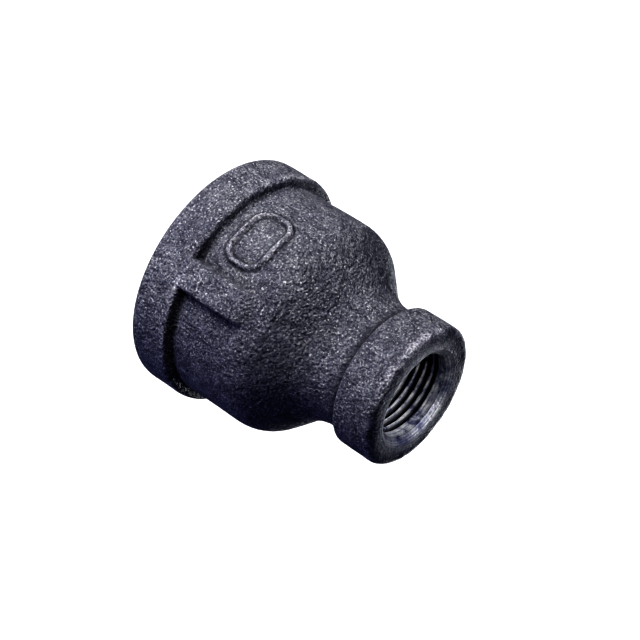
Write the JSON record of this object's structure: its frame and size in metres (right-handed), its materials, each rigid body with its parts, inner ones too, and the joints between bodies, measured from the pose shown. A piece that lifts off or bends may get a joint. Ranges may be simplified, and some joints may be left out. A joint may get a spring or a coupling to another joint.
{
  "type": "reducing coupling",
  "caption": "Black iron reducing pipe coupling: banded internally threaded sockets of two sizes joined by a tapered shoulder, with grip ribs on the larger end.",
  "frame": {"origin": "centre of the large end's flat face, on the bore axis", "axes": "+Z along the bore axis towards the small end; the two grip ribs lie on the Y axis, and the raised outline is beside the rib that faces -Y"},
  "size_m": [0.041, 0.041, 0.0425],
  "materials": {
    "cast_iron_skin": "black as-cast skin, with machined mouths and threads"
  },
  "bodies": {
    "root": {"coupling_casting": "cast_iron_skin"}
  },
  "joints": []
}
